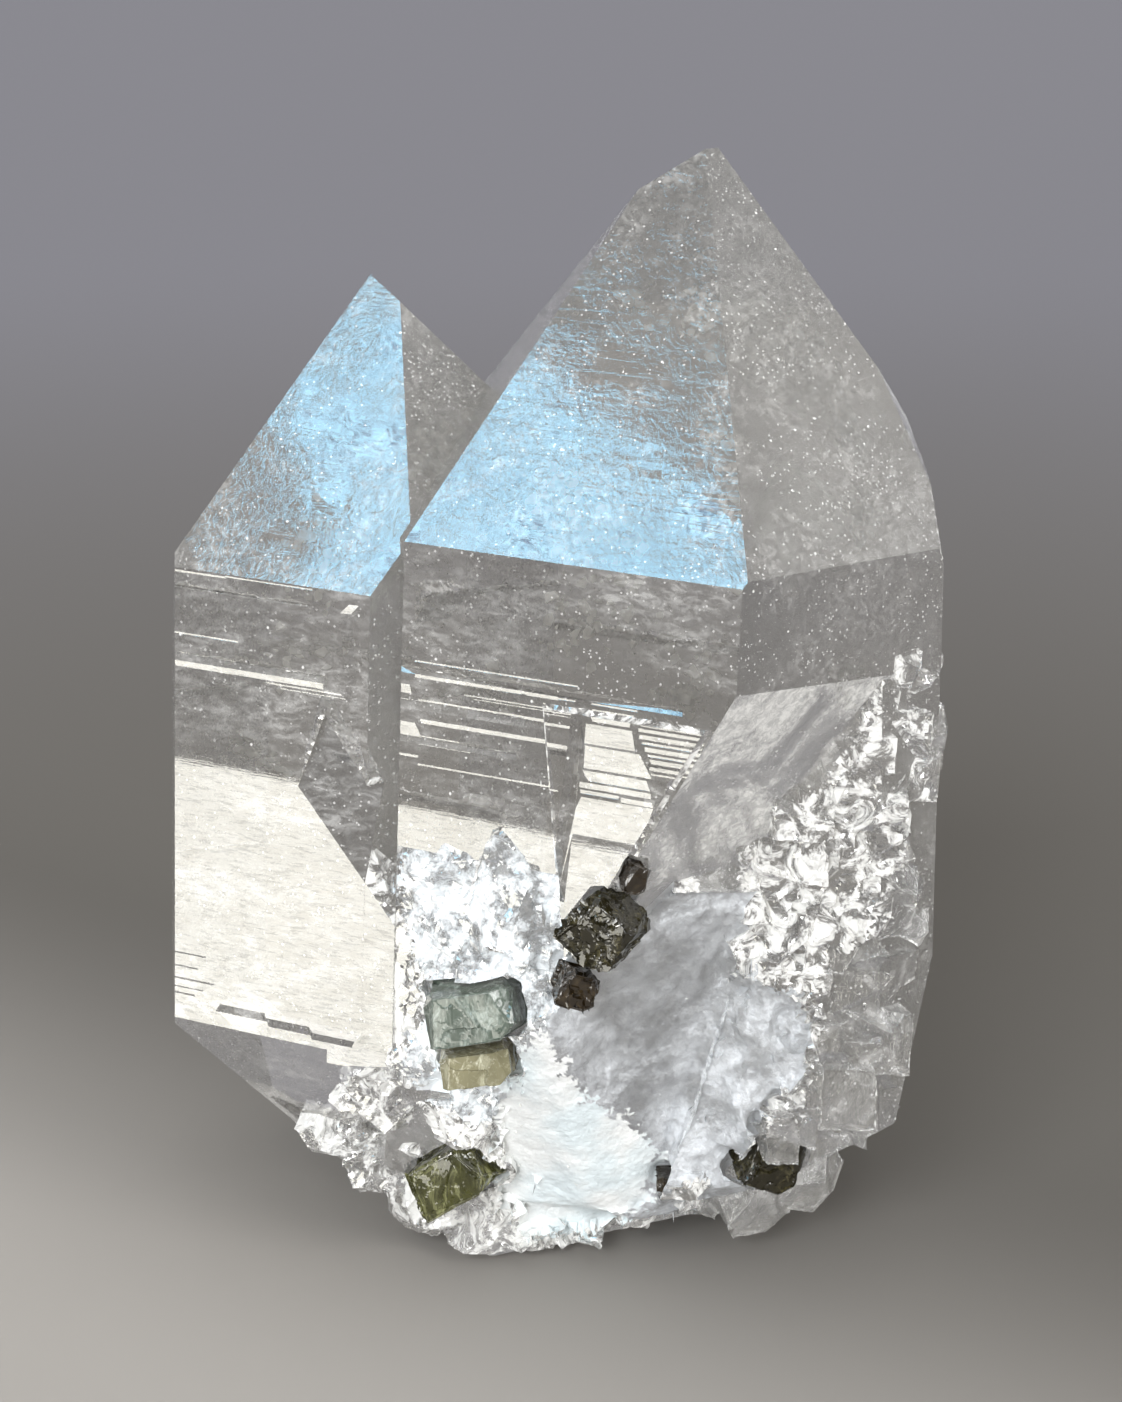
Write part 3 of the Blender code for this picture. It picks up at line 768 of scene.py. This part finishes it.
def mark_granular_front(shape):
    """Turns the low middle of the right crystal's front prism face into granular quartz."""
    facet_area = 25.0
    pixels_inside = 12.0

    def wanted(face):
        return on_front(face, RIGHT_AXIS, RIGHT_FRONT, 0.1)

    split_face_rows(shape, wanted, UP, UP * GRANULAR_TOP)
    split_face_rows(shape, wanted, ALONG, RIGHT_AXIS + ALONG * GRANULAR_END)
    for face in shape.faces:
        centre = face.calc_center_median()
        small = face.calc_area() < facet_area and face.normal.dot(FRONT) > 0.9
        if small and depth_inside(GRANULAR, seen_at(centre)) > pixels_inside:
            face.material_index = RUBBLE
        low = centre.z < GRANULAR_TOP and (centre - RIGHT_AXIS).dot(ALONG) < GRANULAR_END
        if low and wanted(face):
            face.material_index = RUBBLE


def is_rough(edge):
    """True for an edge of a broken or frosted face."""
    return any(face.material_index in ROUGH_ZONES for face in edge.link_faces)


def refine(shape, longest, rounds, wanted=lambda edge: True):
    """Halves the wanted edges, round by round, until none is longer than the longest."""
    for _ in range(rounds):
        edges = [edge for edge in shape.edges if edge.calc_length() > longest and wanted(edge)]
        if not edges:
            break
        bmesh.ops.subdivide_edges(shape, edges=edges, cuts=1)
        bmesh.ops.triangulate(shape, faces=[face for face in shape.faces if len(face.verts) > 3])


def shard_height(point, size):
    """Height of a surface that broke into flat shards of one size, each with its own tilt."""
    place = point / size
    site = noise.voronoi(place)[1][0]
    tilt = noise.noise_vector(site * 5.31)
    return tilt.dot(place - site) * 1.6 + noise.noise(site * 3.17) * 0.5


def lump_height(point, size):
    """Height of a surface covered in rounded lumps of one size."""
    return 0.45 - noise.voronoi(point / size)[0][0]


def broken_relief(point):
    """Sharp shards, drawn out along a slanting line."""
    drawn = point - SHARD_WAY * point.dot(SHARD_WAY) * 0.6
    return 0.22 * shard_height(drawn, 1.8) + 0.18 * shard_height(drawn, 0.7) - 0.12


def hackle_relief(point):
    """Low shards in upright streaks."""
    streaked = Vector((point.x, point.y, point.z * 0.4))
    return 0.09 * shard_height(streaked, 1.6) + 0.04 * shard_height(streaked, 0.6) - 0.10


def grain_relief(point):
    """Lumps of two sizes with small shards."""
    lumps = 0.75 * lump_height(point, 2.1) + 0.22 * shard_height(point, 0.9)
    return lumps + 0.10 * lump_height(point, 0.6) - 0.25


def frost_relief(point):
    """A finely pitted skin that falls away from the white body's edge."""
    beyond = -depth_inside(WHITE_BODY, seen_at(point))
    return 0.14 * noise.fractal(point * 1.1, 0.8, 2.1, 5) - 0.5 * ease(beyond / 45.0)


def white_relief(point):
    """The white body falls away to the left of its ridge, and its skin is sugary."""
    spot = seen_at(point)
    (ax, ay), (bx, by) = WHITE_RIDGE
    length = math.hypot(bx - ax, by - ay)
    left = ((spot[1] - ay) * (bx - ax) - (spot[0] - ax) * (by - ay)) / length
    fall = 1.3 * ease(left / 150.0)
    skin = 0.07 * lump_height(point, 1.1) + 0.08 * noise.fractal(point * 0.8, 0.8, 2.1, 5)
    return skin - fall


RELIEFS = {
    RUBBLE: broken_relief, HACKLE: hackle_relief, GRAIN: grain_relief,
    FROST: frost_relief, WHITE: white_relief,
}


def part_rough_zones(shape):
    """Parts the rough front into its zones, with borders frayed by some pixels of the photo."""
    shape.normal_update()
    toward_camera = -camera_axes()[2]
    for face in shape.faces:
        centre = face.calc_center_median()
        spot = seen_at(centre)
        in_frost = centre.y < FROST_FRONT and depth_inside(FROSTED, spot) > 0.0
        hidden = face.normal.dot(toward_camera) < 0.05 and not in_frost
        if face.material_index not in ROUGH_ZONES or hidden or centre.y > ROUGH_BACK:
            continue
        fray = 8.0 * noise.noise(centre * 0.9) + 14.0 * noise.noise(centre * 2.9)
        zone = next((zone for outline, zone in ZONES if depth_inside(outline, spot) + fray > 0.0), None)
        if zone is not None:
            face.material_index = zone
        elif spot[0] > HACKLE_SIDE and face.material_index == RUBBLE:
            if depth_inside(SHARDS, spot) + fray < 0.0:
                face.material_index = HACKLE


def roughen(shape):
    """Moves the points of the rough zones in and out, and leaves the flat faces' borders in place."""
    shape.normal_update()
    moves = []
    for point in shape.verts:
        zones = {face.material_index for face in point.link_faces}
        if zones <= set(ROUGH_ZONES):
            relief = sum(RELIEFS[zone](point.co) for zone in zones) / len(zones)
            if seen_at(point.co)[0] > STRAIGHT_SIDE:
                relief = min(relief, 0.0)
            moves.append((point, point.normal * relief))
    for point, move in moves:
        point.co += move
        point.co.z = max(point.co.z, BOX_MARGIN)


def soften_frost(shape):
    """Rounds the ridges inside the frosted zones."""
    rounds = 40
    inner = [v for v in shape.verts if all(face.material_index in SOFT_ZONES for face in v.link_faces)]
    for _ in range(rounds):
        bmesh.ops.smooth_vert(
            shape, verts=inner, factor=0.5, use_axis_x=True, use_axis_y=True, use_axis_z=True
        )


def shade_frost(shape):
    """Shades the frosted zones smoothly, but not their creases, where that leaves black marks."""
    shape.normal_update()
    for face in shape.faces:
        even = all(face.normal.dot(point.normal) > EVEN for point in face.verts)
        face.smooth = even and face.material_index in SOFT_ZONES


def keep_in_box(shape):
    """Holds every point inside the box of the solids."""
    low, high = (Vector(corner) / MM for corner in cad_box)
    for point in shape.verts:
        for axis in range(3):
            point.co[axis] = min(high[axis] - BOX_MARGIN, max(low[axis] + BOX_MARGIN, point.co[axis]))


def new_piece(name, shape, node, slot, finishes):
    """Makes a piece of a mesh in world millimetres; a node names the solid that it stands for."""
    shape.transform(Matrix.Scale(MM, 4))
    data = bpy.data.meshes.new(name)
    shape.to_mesh(data)
    shape.free()
    item = add_object(name, data)
    for finish in finishes:
        data.materials.append(finish)
    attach(item, "root")
    if node:
        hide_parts(node)


def mineral_relief(point, size, depth):
    """Growth facets of one size and finer ones on them."""
    coarse = shard_height(point, size)
    fine = shard_height(point, size * 0.4)
    return depth * (coarse + 0.25 * fine - 0.5)


def mineral(node, slot, finish, size, depth):
    """Small crystal with worn edges, growth facets and chips."""
    shape = solid_source(node)
    bmesh.ops.bevel(
        shape, geom=shape.edges[:], offset=WORN_EDGE, segments=2, profile=0.5, affect="EDGES",
        clamp_overlap=True,
    )
    bmesh.ops.triangulate(shape, faces=shape.faces[:])
    refine(shape, MINERAL_EDGE, 6)
    shape.normal_update()
    moves = []
    for point in shape.verts:
        relief = min(0.0, mineral_relief(point.co, size, depth))
        moves.append((point, point.normal * relief))
    for point, move in moves:
        point.co += move
    shape.transform(STANCE)
    keep_in_box(shape)
    new_piece(node + "_detail", shape, node, slot, [finish])


# Width that the small crystals' edges are worn to
WORN_EDGE = 0.12

# Finishes of the small crystals: dark and light colour, most clearness, roughness and the blotches' stretch
MINERAL_FINISHES = {
    "brown_mineral": ((0.016, 0.010, 0.004), (0.07, 0.048, 0.022), 0.3, 0.15),
    "dark_olive_mineral": ((0.018, 0.015, 0.006), (0.12, 0.105, 0.05), 0.35, 0.12),
    "olive_green_mineral": ((0.07, 0.07, 0.018), (0.42, 0.42, 0.20), 0.75, 0.06, 0.4),
    "grey_green_mineral": ((0.12, 0.15, 0.12), (0.42, 0.48, 0.43), 0.35, 0.16, 0.5),
    "olive_beige_mineral": ((0.26, 0.24, 0.14), (0.66, 0.64, 0.46), 0.35, 0.16, 0.5),
}

# Small crystals: node, slot, finish, and the size and depth of the growth facets
MINERALS = (
    ("brown_flake", "dark_olive", "brown_mineral", 1.2, 0.16),
    ("olive_crystal_large", "dark_olive", "dark_olive_mineral", 1.5, 0.42),
    ("olive_crystal_lower", "dark_olive", "brown_mineral", 1.4, 0.32),
    ("olive_crystal_right", "dark_olive", "dark_olive_mineral", 1.4, 0.30),
    ("olive_crystal_tip", "dark_olive", "brown_mineral", 1.2, 0.20),
    ("olive_green_crystal", "olive_green", "olive_green_mineral", 2.4, 0.34),
    ("grey_green_block", "grey_green", "grey_green_mineral", 2.6, 0.16),
    ("olive_beige_block", "olive_beige", "olive_beige_mineral", 2.2, 0.16),
)


def minerals():
    """The small crystals of other minerals on the front."""
    finishes = {name: mineral_material(name, *looks) for name, looks in MINERAL_FINISHES.items()}
    for node, slot, finish, size, depth in MINERALS:
        mineral(node, slot, finishes[finish], size, depth)


def add_film(shape, centre, radius, facing_way, corners, chance):
    """Adds one thin closed film with so many corners and an uneven outline."""
    across = facing_way.orthogonal().normalized()
    upward = facing_way.cross(across).normalized()
    half = facing_way * radius * 0.08
    rim = []
    for step in range(corners):
        turn = math.tau * (step + chance.uniform(-0.3, 0.3)) / corners
        reach = radius * chance.uniform(0.45, 1.0)
        rim.append(centre + across * math.cos(turn) * reach + upward * math.sin(turn) * reach)
    top = [shape.verts.new(corner + half) for corner in rim]
    bottom = [shape.verts.new(corner - half) for corner in rim]
    shape.faces.new(top)
    shape.faces.new(bottom[::-1])
    for step in range(corners):
        following = (step + 1) % corners
        shape.faces.new((bottom[step], bottom[following], top[following], top[step]))


def random_way(chance):
    """Unit direction, as likely to be one as another."""
    return Vector((chance.gauss(0, 1), chance.gauss(0, 1), chance.gauss(0, 1))).normalized()


# Healed cracks close under the front: pixel of the photo, depth, facing azimuth and elevation, radius, films
NEAR_VEILS = (
    ((788, 338), 0.8, 40.0, 35.0, 2.4, 80), ((630, 306), 0.7, -10.0, 60.0, 1.2, 30),
    ((712, 440), 0.8, 20.0, 50.0, 2.0, 60), ((560, 500), 0.9, -20.0, 40.0, 2.4, 50),
    ((908, 430), 0.8, 70.0, 10.0, 2.2, 60), ((850, 520), 0.9, 60.0, 30.0, 2.6, 50),
    ((430, 455), 0.7, 35.0, 30.0, 1.8, 70), ((690, 700), 0.9, -40.0, 15.0, 3.0, 70),
    ((470, 700), 0.9, -10.0, 50.0, 2.6, 50), ((260, 760), 0.9, 10.0, 60.0, 2.4, 60),
    ((840, 700), 0.9, 60.0, 20.0, 2.6, 60),
)

# Veils of healed cracks deeper in: centre, facing azimuth and elevation, radius, number of films
VEILS = (
    ((12.0, -4.0, 56.0), 40.0, 35.0, 3.2, 60), ((15.5, -6.0, 53.5), 75.0, 20.0, 2.4, 50),
    ((8.5, -3.0, 59.0), -10.0, 60.0, 3.4, 60), ((11.5, -7.0, 48.5), 20.0, 50.0, 3.0, 60),
    ((21.0, -3.0, 47.0), 95.0, 5.0, 2.6, 40), ((-7.5, 0.0, 50.0), 35.0, 30.0, 3.0, 90),
    ((-14.0, -2.0, 44.0), -30.0, 20.0, 3.4, 50), ((3.0, -7.0, 44.0), -40.0, 15.0, 4.2, 70),
    ((-16.0, -3.0, 38.0), 10.0, 70.0, 3.2, 50), ((8.0, -6.0, 32.0), 0.0, 40.0, 5.0, 70),
    ((16.0, 2.0, 30.0), 60.0, 30.0, 5.0, 80), ((0.0, 2.0, 22.0), 20.0, -30.0, 6.0, 80),
)

# Least and most radius of a veil's films and of the bubbles, the bubbles' number, and how deep they lie
FILM_SIZES = (0.10, 0.60)
BUBBLE_SIZES = (0.04, 0.15)
BUBBLES = 9000
BUBBLE_DEPTHS = (0.4, 4.0)

# Direction in which skins are counted to tell whether a spot is inside
PROBE = Vector((0.31, 0.23, 0.92)).normalized()


def deep_enough(solid, spot, least, most=math.inf):
    """True inside the solid, at least and at most so far from its skin."""
    if not least < solid.find_nearest(spot)[3] < most:
        return False
    crossings = 0
    place = spot
    while place is not None:
        place = solid.ray_cast(place + PROBE * HAIR, PROBE)[0]
        crossings += place is not None
    return crossings % 2 == 1


def near_veils(solid):
    """The veils close under the front, with their centres found along the camera's sight."""
    eye = TO_UPRIGHT @ CAMERA_PLACE
    for pixel, depth, *veil in NEAR_VEILS:
        look = TO_UPRIGHT.to_3x3() @ sight(*pixel)
        yield (solid.ray_cast(eye, look)[0] + look * depth, *veil)


def add_veil(shape, solid, veil, chance):
    """Scatters films about a plane, facing nearly its way."""
    centre, azimuth, elevation, radius, count = veil
    outward = facing(azimuth, elevation)
    across = outward.orthogonal().normalized()
    upward = outward.cross(across)
    for _ in range(count):
        spread = across * chance.gauss(0, 0.45) + upward * chance.gauss(0, 0.45)
        spot = Vector(centre) + spread * radius + outward * chance.gauss(0, 0.12)
        size = chance.uniform(*FILM_SIZES)
        if deep_enough(solid, spot, size + 0.15):
            way = (outward + random_way(chance) * 0.35).normalized()
            add_film(shape, spot, size, way, chance.randint(5, 7), chance)


def add_bubbles(shape, solid, chance):
    """Scatters small bubbles below the skin, two thirds of them about the right crystal's axis."""
    placed = 0
    while placed < BUBBLES:
        axis = chance.choice((LEFT_AXIS, RIGHT_AXIS, RIGHT_AXIS))
        aside = Vector((chance.uniform(-17, 17), chance.uniform(-17, 9), chance.uniform(6, 68)))
        spot = axis + aside
        if deep_enough(solid, spot, *BUBBLE_DEPTHS):
            size = chance.uniform(*BUBBLE_SIZES)
            way = random_way(chance)
            add_film(shape, spot, size, way, chance.randint(3, 4), chance)
            placed += 1


def inclusions(solid):
    """Healed cracks and scattered bubbles, all inside the quartz."""
    chance = random.Random(41)
    shape = bmesh.new()
    for veil in (*near_veils(solid), *VEILS):
        add_veil(shape, solid, veil, chance)
    add_bubbles(shape, solid, chance)
    bmesh.ops.triangulate(shape, faces=shape.faces[:])
    shape.transform(STANCE)
    new_piece("healed_cracks", shape, None, "quartz", [inclusion_material()])


def quartz():
    """The two crystals with their growth strips, broken and frosted zones, and the flaws inside."""
    shape = solid_source("quartz_twin")
    shape.normal_update()
    solid = BVHTree.FromBMesh(shape)
    for face in shape.faces:
        face.material_index = zone_of(face)
    flatten_front(shape, LEFT_AXIS, (LEFT_FRONT,))
    flatten_front(shape, RIGHT_AXIS, (RIGHT_FRONT, RIGHT_FRONT + TERRACE_RISE))
    mark_granular_front(shape)
    left = (LEFT_AXIS, LEFT_FRONT)
    right = (RIGHT_AXIS, RIGHT_FRONT)
    cut_valley(shape, *left, *LEFT_VALLEY)
    cut_valley(shape, *right, *RIGHT_VALLEY)
    cut_growth_strips(shape, *left, LEFT_STRIPS)
    cut_growth_strips(shape, *right, RIGHT_STRIPS)
    bmesh.ops.triangulate(shape, faces=shape.faces[:])
    refine(shape, ROUGH_EDGE, 9, is_rough)
    part_rough_zones(shape)
    soften_frost(shape)
    roughen(shape)
    shade_frost(shape)
    shape.transform(STANCE)
    keep_in_box(shape)
    makers = (
        prism_material, rhomb_material, satin_material, rubble_material, frost_material,
        white_material, grain_material, hackle_material, hazy_material,
    )
    new_piece("quartz_crystals", shape, "quartz_twin", "quartz", [make() for make in makers])
    inclusions(solid)


# The floor curves up far from the crystals: radius and height in metres
FLOOR_PROFILE = ((1.2, 0.0), (1.7, 0.08), (2.1, 0.3), (2.35, 0.7), (2.4, 1.2))
FLOOR_SIDES = 96

# Direction over the floor towards its painted pool of light near the crystals, and its tones: painted shade,
# painted light and the tone far away
FLOOR_PAINTED_LIGHT_WAY = (-0.6, -0.8, 0.0)
FLOOR_PAINTED_SHADE = (0.139, 0.132, 0.121)
FLOOR_PAINTED_LIGHT = (0.400, 0.380, 0.355)
FLOOR_FAR = (0.200, 0.198, 0.218)


def floor_mesh():
    """Round floor with its edge curved up."""
    data = bpy.data.meshes.new("floor")
    shape = bmesh.new()
    turns = [math.tau * step / FLOOR_SIDES for step in range(FLOOR_SIDES)]
    loops = []
    for radius, height in FLOOR_PROFILE:
        loops.append([
            shape.verts.new((radius * math.cos(turn), radius * math.sin(turn), height)) for turn in turns
        ])
    shape.faces.new(loops[0])
    for low, high in zip(loops, loops[1:]):
        for step in range(FLOOR_SIDES):
            following = (step + 1) % FLOOR_SIDES
            shape.faces.new((low[step], low[following], high[following], high[step]))
    bmesh.ops.recalc_face_normals(shape, faces=shape.faces[:])
    shape.to_mesh(data)
    shape.free()
    for polygon in data.polygons:
        polygon.use_smooth = True
    return data


def floor_material():
    """Plain paper with a painted pool of light towards the lights near the crystals and painted shade away
    from them, and bluish far away.
    """
    graph = Graph("floor_paper_painted_light")
    where = graph.node("TexCoord").outputs["Object"]
    away = graph.node("VectorMath", {"operation": "LENGTH"})
    graph.feed(away, 0, where)
    toward_painted_light = graph.node("VectorMath", {"operation": "DOT_PRODUCT"})
    graph.feed(toward_painted_light, 0, where)
    graph.feed(toward_painted_light, 1, FLOOR_PAINTED_LIGHT_WAY)
    # painted light and shade on the floor: lighter towards the lights near the crystals, darker away from
    # them
    lit = graph.ramp(toward_painted_light.outputs["Value"], -0.026, 0.034)
    far = graph.ramp(away.outputs["Value"], 0.06, 0.40)
    painted_near_tone = graph.mix(lit, FLOOR_PAINTED_SHADE, FLOOR_PAINTED_LIGHT)
    graph.set(Base_Color=graph.mix(far, painted_near_tone, FLOOR_FAR))
    graph.set(Roughness=0.9, Specular_IOR_Level=0.0)
    return graph.material


def add_floor():
    data = floor_mesh()
    data.materials.append(floor_material())
    floor = add_object("floor", data)
    floor.visible_shadow = False


def add_world():
    """Even, nearly white light from all around."""
    world = bpy.data.worlds.new("studio")
    world.use_nodes = True
    ground = world.node_tree.nodes["Background"]
    ground.inputs["Color"].default_value = (1.0, 0.99, 0.98, 1.0)
    ground.inputs["Strength"].default_value = 0.90
    bpy.context.scene.world = world


# Small bright cards that only tilted chips mirror to the camera: distance and half sizes in metres, and
# directions
GLINT_DISTANCE = 0.6
GLINT_HALF_WIDTH = 0.045
GLINT_HALF_HEIGHT = 0.09
GLINT_WAYS = (
    (0.73, -0.56, 0.39), (0.01, 0.83, 0.56), (0.09, -0.19, 0.98), (0.19, -0.88, 0.43),
    (0.75, 0.64, 0.13), (-0.96, 0.25, 0.09), (-0.80, -0.50, 0.33), (0.29, 0.95, 0.14),
    (-0.50, 0.74, 0.45), (-0.37, -0.90, 0.22),
)

# Corners of the cards' mirror images in the photo's pixels
WHITE_IMAGE = ((100, 743), (680, 859), (680, 1160), (100, 1160))
BLUE_IMAGE = ((365, 216), (1005, 744), (585, 1332), (82, 829), (333, 511), (255, 405), (225, 385))

# The cards' colours between which their clouds go
WARM_WHITE = ((0.90, 0.87, 0.78), (1.0, 0.98, 0.90))
SKY_BLUE = ((0.05, 0.10, 0.20), (0.42, 0.78, 1.0))
GLINT_COLOURS = ((0.95, 0.97, 1.0), (1.0, 1.0, 0.97))

# Lights: name, direction, strength, spread in degrees and colour
LIGHTS = (
    ("window", (-0.35, -0.85, 0.50), 2.0, 26.0, (0.94, 0.97, 1.0)),
    ("low_window", (-0.25, -0.95, 0.10), 1.2, 10.0, (0.96, 0.98, 1.0)),
    ("fill", (0.75, -0.55, 0.42), 1.1, 26.0, (1.0, 0.98, 0.95)),
)


def glint_card(name, way):
    """Small upright card in one direction, facing the middle of the crystals."""
    centre = Vector((0.0, 0.0, 0.03)) + way * GLINT_DISTANCE
    across = way.cross(UP).normalized() * GLINT_HALF_WIDTH
    upward = across.cross(way).normalized() * GLINT_HALF_HEIGHT
    signs = ((-1, -1), (1, -1), (1, 1), (-1, 1))
    corners = [centre + across * side + upward * rise for side, rise in signs]
    glowing_card(name, corners, GLINT_COLOURS, 11.0)


def soft_light(name, way, strength, spread, colour):
    """Distant light in one direction; spread is the angle that it fills."""
    data = bpy.data.lights.new(name, "SUN")
    data.energy = strength
    data.angle = math.radians(spread)
    data.color = colour
    item = add_object(name, data)
    item.rotation_euler = Vector(way).to_track_quat("Z", "Y").to_euler()
    item.visible_glossy = False
    item.visible_transmission = False


def add_lights():
    """A white card on the table, a blue one overhead, the glint cards and the soft lights."""
    prism = (FRONT, LEFT_AXIS + FRONT * LEFT_FRONT)
    rhomb = (FRONT_RHOMB, RIGHT_AXIS + UP * RIGHT_RHOMB_HEIGHT)
    table = (UP, UP)
    ceiling = (UP, UP * 500.0)
    reflection_card("white_card", WHITE_IMAGE, prism, table, WARM_WHITE, 5.0)
    reflection_card("blue_card", BLUE_IMAGE, rhomb, ceiling, SKY_BLUE, 6.8)
    for index, way in enumerate(GLINT_WAYS):
        glint_card(f"glint_{index}", Vector(way).normalized())
    for light in LIGHTS:
        soft_light(*light)


add_camera()
add_world()
add_floor()
add_lights()
quartz()
minerals()
bpy.context.scene.view_settings.view_transform = "Standard"
